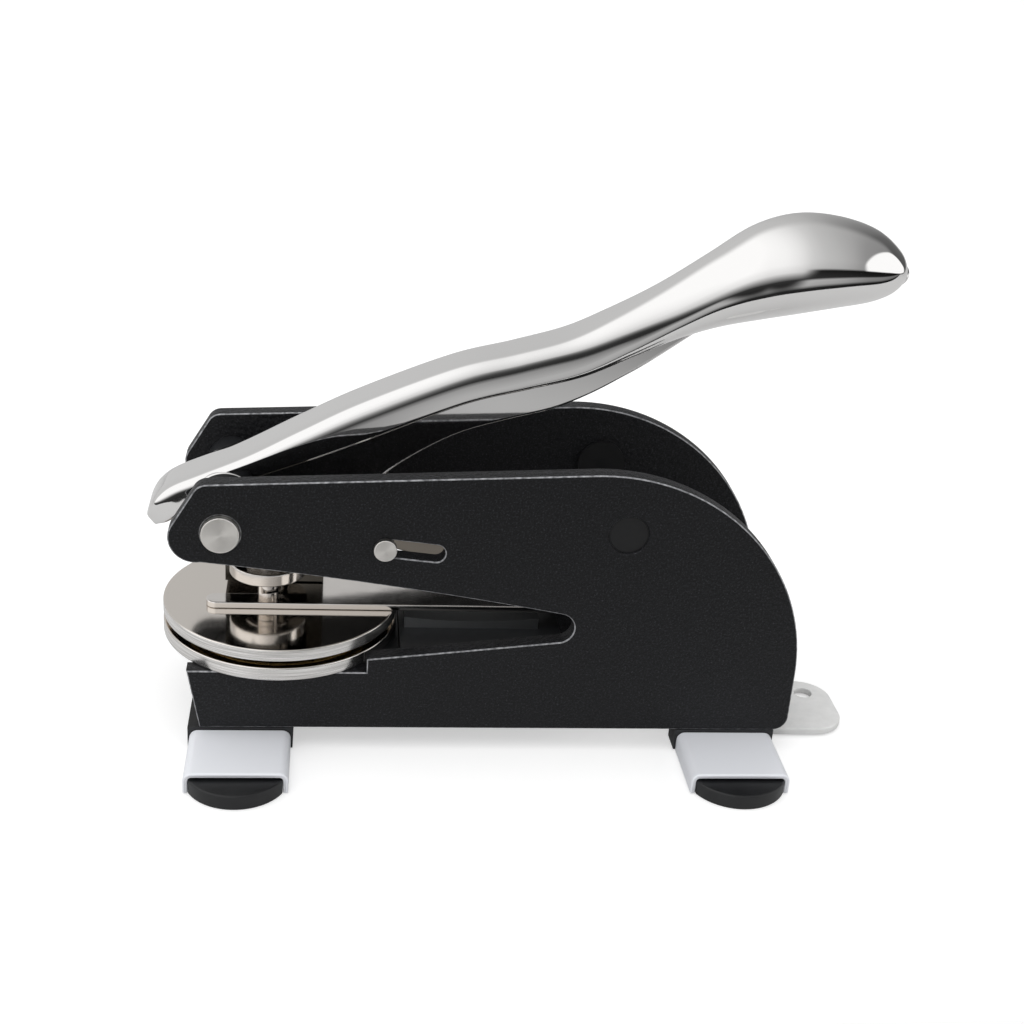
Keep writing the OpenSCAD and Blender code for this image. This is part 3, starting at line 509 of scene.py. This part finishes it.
def lever_surface(around=120, steps=12, cap_steps=9, cap_l=1.4):
    """The arm and grip: each station's section is cos and sin to a power, 0.4 for the arm's flat top
    and almost 1 for the round grip. Each end is domed: the last section shrinks by cos t as it
    moves out by cap_l * sin t."""
    s = spline(lever_stations, steps)
    grip = np.clip((s[:, 0] - grip_start) / (grip_full - grip_start), 0, 1)
    grip = grip * grip * (3 - 2 * grip)
    half_w = (arm_w + (grip_w - arm_w) * s[:, 4]) / 2
    top, bottom = s[:, 0:2], s[:, 2:4]
    middle = top * s[:, 5:6] + bottom * (1 - s[:, 5:6])
    angle = 2 * np.pi * np.arange(around) / around
    c, v = np.cos(angle), np.sin(angle)
    upper = v >= 0
    upper_power, lower_power = [arm + (grip_power - arm) * grip[:, None] for arm in arm_powers]
    power = np.where(upper[None, :], upper_power, lower_power)
    y = half_w[:, None] * np.sign(c) * np.abs(c)[None, :] ** power
    reach = np.abs(v)[None, :] ** power
    towards = np.where(upper[None, :, None], (top - middle)[:, None, :],
                       (bottom - middle)[:, None, :])
    xz = middle[:, None, :] + reach[:, :, None] * towards + pivot
    body = np.stack([xz[..., 0], y, xz[..., 1]], -1)
    turn = np.radians(np.linspace(88, 90 / cap_steps, cap_steps - 1))[:, None, None]
    caps = []
    for end, inner in ((body[0], body[1]), (body[-1], body[-2])):
        out = end.mean(0) - inner.mean(0)
        out *= cap_l / np.linalg.norm(out)
        caps.append(end.mean(0) + (end - end.mean(0)) * np.cos(turn) + out * np.sin(turn))
    points = np.concatenate([caps[0], body, caps[1][::-1]])
    rings = len(points)
    r, i = np.meshgrid(np.arange(rings - 1), np.arange(around), indexing="ij")
    a, b = r * around + i, r * around + (i + 1) % around
    faces = np.stack([a, b, b + around, a + around], -1).reshape(-1, 4).tolist()
    faces.append(list(range(around))[::-1])
    faces.append([(rings - 1) * around + k for k in range(around)])
    return points.reshape(-1, 3), faces


hook_down = np.array([-math.sin(math.radians(slot_slope)), -math.cos(math.radians(slot_slope))])
hook_start = retainer_offset + slot_r * hook_down
hook_front, hook_back = 28.2, 36.7
hook_l = 9.72
hook_r = 4.5
hook_tip = (54.2, -12.6)
web_low = -9.3
mouth_r = 3


def hook_top(x):
    """Height of the hook's top, which runs along the slot."""
    return hook_start[1] + (hook_start[0] - x) * math.tan(math.radians(slot_slope))


def web_outline():
    """The web, counterclockwise: hub, under side with the hook's step, mouth, then up to the grip and
    back inside the arm."""
    s = lever_stations
    inside = ((s[4:14, 0:2] + s[4:14, 2:4]) / 2)[::-1]
    edge = np.array([[39.2, 5.8], [43, 9.4], [50.8, 14.8], [60.1, 19.7], [71.3, 23.3], [82.6, 26.5],
                     [91.8, 30.8], [99.5, 35.4], [107, 40.3], [118, 48.5]])
    return pivot + np.concatenate([
        [[-3, 0], [4, -7.25], [17.6, -7.55], [hook_front, web_low],
         [hook_front, hook_top(hook_front)], [hook_back, hook_top(hook_back)]],
        arc(hook_back + mouth_r, 2.6, mouth_r, 180, 140, 8), spline(edge, 4), inside])


def hook_outline():
    """The hook, counterclockwise: front end in the web's step, low tip, then the top along the slot."""
    top_end = hook_start + slot_dir * hook_l + hook_down * hook_r
    return pivot + np.concatenate([
        [[hook_front, hook_top(hook_front)], [hook_front, web_low]],
        arc(*hook_tip, hook_r, -102, 30, 16), arc(*top_end, hook_r, 40, 90 - slot_slope, 8)])


def turned(profile, centre, axis="z", around=128):
    """A surface of revolution: the closed profile of radius and height, turned round the axis."""
    profile = np.asarray(profile, float)
    angle = 2 * np.pi * np.arange(around) / around
    radius, height = profile[:, 0][:, None], profile[:, 1][:, None]
    level = np.repeat(height, around, 1)
    across, along = radius * np.cos(angle), radius * np.sin(angle)
    if axis == "z":
        grid = np.stack([centre[0] + across, centre[1] + along, level], -1)
    else:
        grid = np.stack([centre[0] + across, level, centre[1] - along], -1)
    n = len(profile)
    r, i = np.meshgrid(np.arange(n), np.arange(around), indexing="ij")
    a, b = r * around + i, r * around + (i + 1) % around
    c, d = (r + 1) % n * around + (i + 1) % around, (r + 1) % n * around + i
    return grid.reshape(-1, 3), np.stack([a, b, c, d], -1).reshape(-1, 4).tolist()


def softened(corners, radius, steps=4):
    """A closed profile with each corner replaced by an arc of at most radius, with a point either
    side of it that keeps the flats flat."""
    corners = np.asarray(corners, float)
    out = []
    for k, corner in enumerate(corners):
        back = corners[k - 1] - corner
        ahead = corners[(k + 1) % len(corners)] - corner
        lengths = np.linalg.norm(back), np.linalg.norm(ahead)
        back, ahead = back / lengths[0], ahead / lengths[1]
        half = np.arccos(np.clip(back @ ahead, -1, 1)) / 2
        if half > math.radians(85) or corner[0] < 1e-6:
            out.append(corner)
            continue
        reach = min(radius / math.tan(half), 0.4 * min(lengths))
        r = reach * math.tan(half)
        middle = corner + (back + ahead) / np.linalg.norm(back + ahead) * r / math.sin(half)
        first, last = corner + back * reach, corner + ahead * reach
        turn = np.linspace(0, 1, steps + 1)[:, None]
        chord = first + (last - first) * turn
        spoke = chord - middle
        spoke *= r / np.linalg.norm(spoke, axis=1, keepdims=True)
        out.append(corner + back * reach * 1.5)
        out += list(middle + spoke)
        out.append(corner + ahead * reach * 1.5)
    return np.array(out)


hub_r = 8.5
hub_half = 8.5
hub_bore = 5.55
web_edge = 0.5
web_bore = round_hole(pivot, hub_bore - 0.02)
hub_profile = softened([[hub_bore, -hub_half], [hub_r, -hub_half], [hub_r, hub_half],
                        [hub_bore, hub_half]], 0.4)
lever = add_mesh("lever_casting", *join_shapes(
    lever_surface(), rounded_slab([web_outline(), web_bore], -web_t / 2, web_t / 2, web_edge),
    turned(hub_profile, pivot, "y")), polished_chrome())
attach(lever, "lever")
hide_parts("lever")

hook = add_mesh("lever_hook_plate",
                *rounded_slab([hook_outline()], -web_t / 2, web_t / 2, web_edge), thin_chrome())
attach(hook, "lever")
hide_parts("lever_hook")

# ---- Discs ----
# Two steel discs, turned, surface ground and nickel plated. The upper one is carried by the ram, the
# lower one lies on the seat in the plates, and each holds a blank brass die in its inner face.


def ground_nickel():
    """Nickel over a ground face: a mirror with a faint warm tint and the grinding's fine haze."""
    material, tree, shader = new_material("ground_nickel_plate")
    set_surface(shader, "#e2deda", 0.12, metallic=1.0)
    vary_roughness(tree, shader, object_noise(tree, 4, 5.0), 0.09, 0.15)
    return material


def brushed_rim():
    """The discs' nickel: the top is a mirror, and the rim keeps the grinding wheel's scratches."""
    material, tree, shader = new_material("brushed_rim_nickel")
    set_surface(shader, "#e0dad3", 0.09, metallic=1.0)
    place = add_node(tree, "ShaderNodeTexCoord").outputs["Object"]
    scratches_per_m = (60, 60, 5000)
    stretched = add_node(tree, "ShaderNodeVectorMath", {0: place, 1: scratches_per_m},
                         operation="MULTIPLY")
    lines = add_node(tree, "ShaderNodeTexNoise", {"Vector": stretched.outputs[0], "Scale": 1.0,
                                                  "Detail": 3.0}).outputs["Fac"]
    facing = add_node(tree, "ShaderNodeNewGeometry").outputs["Normal"]
    up = add_node(tree, "ShaderNodeSeparateXYZ", {"Vector": facing}).outputs["Z"]
    level = add_node(tree, "ShaderNodeMath", {0: up}, operation="ABSOLUTE").outputs[0]
    on_top = add_node(tree, "ShaderNodeMapRange", {"Value": level, "From Min": 0.2,
                                                   "From Max": 0.8}).outputs[0]
    colour = add_node(tree, "ShaderNodeMix", {"Factor": on_top}, data_type="RGBA")
    rim_colour, top_colour, mixed_colour = colour.inputs[6], colour.inputs[7], colour.outputs[2]
    tree.links.new(tint_by(tree, lines, [(0.35, "#c4c2bf"), (0.6, "#fbf9f7")]), rim_colour)
    top_colour.default_value = linear("#e0dad3")
    tree.links.new(mixed_colour, shader.inputs["Base Color"])
    rough = add_node(tree, "ShaderNodeMapRange", {"Value": on_top, "To Min": 0.27, "To Max": 0.09})
    tree.links.new(rough.outputs[0], shader.inputs["Roughness"])
    add_bump(tree, shader, lines, 0.25, 0.04)
    return material


nickel = ground_nickel()
rim_nickel = brushed_rim()
disc_r = 31
disc_place = (-61.9, 0)
lower_disc_z = (23.19, 26.79)
upper_disc_z = (28.69, 31.99)
die_r = 25.51
die_recess = 1.28
lower_open_z = lower_disc_z[1] - die_recess
upper_open_z = upper_disc_z[0] + die_recess
disc_outlines = {
    "lower_disc": [[0, lower_disc_z[0]], [disc_r, lower_disc_z[0]], [disc_r, lower_disc_z[1]],
                   [die_r, lower_disc_z[1]], [die_r, lower_open_z], [0, lower_open_z]],
    "upper_disc": [[0, upper_open_z], [die_r, upper_open_z], [die_r, upper_disc_z[0]],
                   [disc_r, upper_disc_z[0]], [disc_r, upper_disc_z[1]], [0, upper_disc_z[1]]]}
for name, body in (("lower_disc", "frame"), ("upper_disc", "ram")):
    disc = add_mesh("turned_" + name,
                    *turned(softened(disc_outlines[name], 0.35), disc_place, around=256), rim_nickel)
    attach(disc, body)
    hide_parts(name)

# ---- Ram and adjusting ring ----
# The ram is a turned steel plunger with a thin neck that carries the upper disc. The ring screws on
# above the neck to set the pressure. Both are nickel plated.

ram_place = (-65.4, 0)
neck_r, ram_r, ring_r = 2.85, 6, 10.2
ring_low, ring_high = 38.99, 42.49
ram_low, ram_high = 31.0, 52.6
ram_outline = [[0, ram_low], [neck_r, ram_low], [neck_r, ring_low], [ram_r, ring_low],
               [ram_r, ram_high], [0, ram_high]]
ring_outline = [[ram_r + 0.02, ring_low], [ring_r, ring_low], [ring_r, ring_high],
                [ram_r + 0.02, ring_high]]
for name, outline, radius in (("ram", ram_outline, 0.3), ("adjusting_ring", ring_outline, 0.35)):
    piece = add_mesh("turned_" + name, *turned(softened(outline, radius), ram_place), nickel)
    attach(piece, "ram")
    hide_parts(name)

# ---- Leaf spring ----
# A strip of polished spring steel with one rounded arm past the ram's neck, rolled into an eye at
# the rear. It lies on the upper disc and lifts disc, ram and lever.

leaf_z = (32.04, 33.79)
leaf_w = 18
leaf_front = -81.3
leaf_rear = 20
eye_place = np.array([21.0, 32.91])
eye_bore, eye_r = 1.55, 3.25
neck_room = 3.55
arm_r = (leaf_w / 2 - neck_room) / 2
arm_y = neck_room + arm_r
far_arm_front = -64.5
leaf_outline = np.concatenate([
    [[leaf_rear, -leaf_w / 2], [leaf_rear, leaf_w / 2]],
    arc(far_arm_front + arm_r, arm_y, arm_r, 90, 270, 20),
    arc(ram_place[0], 0, neck_room, 45, -90, 20),
    arc(leaf_front + arm_r, -arm_y, arm_r, 90, 270, 20)])
eye_outline = softened([[eye_bore, -leaf_w / 2], [eye_r, -leaf_w / 2], [eye_r, leaf_w / 2],
                        [eye_bore, leaf_w / 2]], 0.3)
leaf = add_mesh("leaf_spring_strip", *join_shapes(
    rounded_slab([leaf_outline], *leaf_z, 0.25, plane="xy"),
    turned(eye_outline, eye_place, "y", 64)), nickel)
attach(leaf, "leaf")
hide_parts("leaf_spring")

# ---- Pivot pin and retaining shaft ----
# Turned steel pins. The pivot's head fills its hole in the near plate, and the retaining shaft ends
# in a pressed-on head that is pushed along the slot. Their faces keep the lathe's fine rings.


def turned_steel(name, centre):
    """Lathe-faced steel: rings about 0.3 mm apart round the pin's own axis spread its highlights
    across them, so that its face shows a bright wedge."""
    material, tree, shader = new_material(name)
    set_surface(shader, "#f0ede8", 0.42, metallic=1.0)
    place = add_node(tree, "ShaderNodeTexCoord").outputs["Object"]
    centred = add_node(tree, "ShaderNodeMapping", {
        "Vector": place, "Location": (-centre[0] / 1000, 0, -centre[1] / 1000)})
    flat = add_node(tree, "ShaderNodeVectorMath", {0: centred.outputs[0], 1: (1, 0, 1)},
                    operation="MULTIPLY")
    radius = add_node(tree, "ShaderNodeVectorMath", {0: flat.outputs[0]}, operation="LENGTH")
    ring_pitch = 0.0003
    rings = add_node(tree, "ShaderNodeMath", {0: radius.outputs["Value"], 1: 2 * math.pi / ring_pitch},
                     operation="MULTIPLY")
    wave = add_node(tree, "ShaderNodeMath", {0: rings.outputs[0]}, operation="SINE")
    add_bump(tree, shader, wave.outputs[0], 0.25, 0.03)
    tangent = add_node(tree, "ShaderNodeTangent", direction_type="RADIAL", axis="Y")
    tree.links.new(tangent.outputs[0], shader.inputs["Tangent"])
    shader.inputs["Anisotropic"].default_value = 0.85
    return material


pin_r, pin_head_r, pin_groove_r = 4, 4.75, 3.2
pin_y = (-28.0, 30.1)
pin_groove = (27.7, 28.5)
pin_outline = softened([
    [0, pin_y[0]], [pin_head_r, pin_y[0]], [pin_head_r, -half_gap], [pin_r, -half_gap],
    [pin_r, pin_groove[0]], [pin_groove_r, pin_groove[0]], [pin_groove_r, pin_groove[1]],
    [pin_r, pin_groove[1]], [pin_r, pin_y[1]], [0, pin_y[1]]], 0.35)
pin = add_mesh("turned_pivot_pin", *turned(pin_outline, pivot, "y", 96),
               turned_steel("turned_pin_steel", pivot))
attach(pin, "frame")
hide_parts("pivot_pin")

shaft_r, shaft_head_r = 2.2, 2.9
shaft_head = (-28.4, -26.6)
shaft_end = 21.4
shaft_outline = softened([
    [0, shaft_head[0]], [shaft_head_r, shaft_head[0]], [shaft_head_r, shaft_head[1]],
    [shaft_r, shaft_head[1]], [shaft_r, shaft_end], [0, shaft_end]], 0.3)
shaft = add_mesh("turned_retaining_shaft", *turned(shaft_outline, retainer, "y", 64),
                 turned_steel("turned_shaft_steel", retainer))
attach(shaft, "retainer")
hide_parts("retaining_shaft", "retaining_head")

# ---- Foot caps ----
# Bent and satin anodised aluminium covers over the ends of the foot bars, open at the bottom and
# towards the rubber foot, with softly rounded long edges.


def anodised_aluminium():
    """Satin anodised aluminium: an etched, matt skin with no grain, so it shows soft gradients."""
    material, tree, shader = new_material("satin_anodised_aluminium")
    set_surface(shader, "#eceef3", 0.35, metallic=0.08)
    add_bump(tree, shader, object_noise(tree, 0.4, 2.0), 0.08, 0.05)
    return material


foot_l = 26
cap_y = (26.55, 47.0)
cap_z = (0.4, 5.9)
cap_wall = 1.3
cap_edge = 2.2
cap_skirt = 1.5


def cap_shape(foot_x, side):
    """A cap: its wall's rounded profile carried along the channel section, from one lower edge over
    the top to the other; side is -1 on the near side and 1 on the far one."""
    half = foot_l / 2
    section = np.concatenate([
        [[half, cap_z[0]], [half, cap_skirt]],
        arc(half - cap_edge, cap_z[1] - cap_edge, cap_edge, 0, 90, 10),
        arc(cap_edge - half, cap_z[1] - cap_edge, cap_edge, 90, 180, 10),
        [[-half, cap_skirt], [-half, cap_z[0]]]])
    ahead = np.gradient(section, axis=0)
    ahead /= np.linalg.norm(ahead, axis=1, keepdims=True)
    inward = np.stack([-ahead[:, 1], ahead[:, 0]], 1)
    wall = softened([[1e-3, cap_y[0]], [1e-3, cap_y[1]], [cap_wall, cap_y[1]],
                     [cap_wall, cap_y[0]]], 0.45)
    xz = section[:, None, :] + wall[None, :, 0:1] * inward[:, None, :]
    y = np.broadcast_to(wall[None, :, 1], xz.shape[:2]) * side
    points = np.stack([xz[..., 0] + foot_x, y, xz[..., 1]], -1).reshape(-1, 3)
    n, rows = len(wall), len(section)
    r, i = np.meshgrid(np.arange(rows - 1), np.arange(n), indexing="ij")
    a, b = r * n + i, r * n + (i + 1) % n
    faces = np.stack([a, b, b + n, a + n], -1).reshape(-1, 4)
    faces = faces.tolist() + [list(range(n))[::-1], [(rows - 1) * n + k for k in range(n)]]
    return points, faces if side > 0 else [face[::-1] for face in faces]


aluminium = anodised_aluminium()
feet = {"front": -71.3, "rear": 57.4}
for row, foot_x in feet.items():
    for side_name, side in (("near", -1), ("far", 1)):
        cap = add_mesh(f"bent_cap_{row}_{side_name}", *cap_shape(foot_x, side), aluminium)
        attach(cap, "frame")
        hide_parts(f"foot_cap_{row}_{side_name}")

# ---- Rubber feet ----
# Moulded black rubber, pushed into the open end of each cap, with a half-round nose that shows in
# front of it and stands on the desk.


def moulded_rubber():
    """Moulded rubber: nearly black, with the mould's soft sheen and a faint dusty bloom."""
    material, tree, shader = new_material("moulded_rubber")
    set_surface(shader, "#121315", 0.42)
    colour = tint_by(tree, object_noise(tree, 6, 5.0), [(0.35, "#0d0e10"), (0.7, "#17181a")])
    tree.links.new(colour, shader.inputs["Base Color"])
    return material


rubber = moulded_rubber()
front_reach = 7
rubber_half = 11.6
rubber_inside = 8
front_r = (rubber_half ** 2 + front_reach ** 2) / (2 * front_reach)
front_angle = math.degrees(math.asin(rubber_half / front_r))
rubber_z = (0, 4.1)
for row, foot_x in feet.items():
    for side_name, side in (("near", -1), ("far", 1)):
        rounded = arc(foot_x, cap_y[1] + front_reach - front_r, front_r,
                      90 - front_angle, 90 + front_angle, 40)
        outline = np.concatenate([[[foot_x - rubber_half, cap_y[1] - rubber_inside],
                                   [foot_x + rubber_half, cap_y[1] - rubber_inside]], rounded])
        outline = outline * [1, side] if side > 0 else (outline * [1, side])[::-1]
        foot = add_mesh(f"moulded_foot_{row}_{side_name}",
                        *rounded_slab([outline], *rubber_z, 0.5, plane="xy"), rubber)
        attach(foot, "frame")
        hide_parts(f"rubber_foot_{row}_{side_name}")

# ---- Rear lug ----
# A flat steel strip under the rear foot bar, painted light grey, with one hole for a screw that holds
# the press to a desk.


def lug_paint():
    """Light grey stove enamel: an even satin paint over steel."""
    material, tree, shader = new_material("grey_stove_enamel")
    set_surface(shader, "#e6e6e5", 0.35)
    colour = tint_by(tree, object_noise(tree, 3, 3.0), [(0.3, "#e2e2e1"), (0.7, "#eaeae9")])
    tree.links.new(colour, shader.inputs["Base Color"])
    return material


lug_x = (46.4, 94.5)
lug_y = (-19.5, 6.5)
lug_z = (0.6, 2.6)
lug_corner = 8.7
lug_hole = round_hole((87, 0), 2.5)
lug_outline = np.concatenate([
    [[lug_x[0], lug_y[0]]],
    arc(lug_x[1] - lug_corner, lug_y[0] + lug_corner, lug_corner, -90, 0, 20),
    arc(lug_x[1] - lug_corner, lug_y[1] - lug_corner, lug_corner, 0, 90, 20),
    [[lug_x[0], lug_y[1]]]])
lug = add_mesh("lug_strip", *rounded_slab([lug_outline, lug_hole], *lug_z, 0.4, plane="xy"),
               lug_paint())
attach(lug, "frame")
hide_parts("rear_lug")

# ---- Parts left as the construction has them ----
# Blocks, bars, sleeves, plugs, dies and screws, whose machined shapes are right as they are: each
# gets its own finish.


def finish_cad(nodes, material):
    """Gives CAD nodes a material."""
    for name in nodes:
        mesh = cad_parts[name].data
        mesh.materials.clear()
        mesh.materials.append(material)


def plain_finish(name, colour, roughness, metallic, grain_mm):
    """A machined or painted finish whose gloss varies a little over grain_mm."""
    material, tree, shader = new_material(name)
    set_surface(shader, colour, roughness, metallic)
    vary_roughness(tree, shader, object_noise(tree, grain_mm, 4.0), roughness - 0.05, roughness + 0.05)
    return material


finish_cad(["base_block", "rear_block", "foot_bar_front", "foot_bar_rear", "spacer_near", "spacer_far"],
           plain_finish("black_enamel", "#1c1d1f", 0.4, 0.0, 3))
finish_cad(["plate_plug_near", "plate_plug_far"],
           plain_finish("moulded_nylon", "#0c0c0e", 0.55, 0.0, 2))
finish_cad(["lug_screws", "foot_screws", "rest_screws", "spring_pin", "pivot_retaining_ring"],
           plain_finish("zinc_plated_steel", "#9c9ea0", 0.32, 1.0, 1))
finish_cad(["rest_block", "press_pad"], plain_finish("blasted_steel", "#8f9193", 0.45, 1.0, 0.6))
finish_cad(["lower_die", "upper_die"], plain_finish("die_brass", "#b8a06a", 0.3, 1.0, 0.8))
finish_cad(["lever_bush"], plain_finish("sintered_bronze", "#9a7440", 0.4, 1.0, 0.5))
# Painted shade: the ram guide's steel is coloured dark for the dark reflections and shade it shows
# between the black plates
finish_cad(["ram_guide"], plain_finish("shade_darkened_steel", "#57544f", 0.16, 1.0, 4))
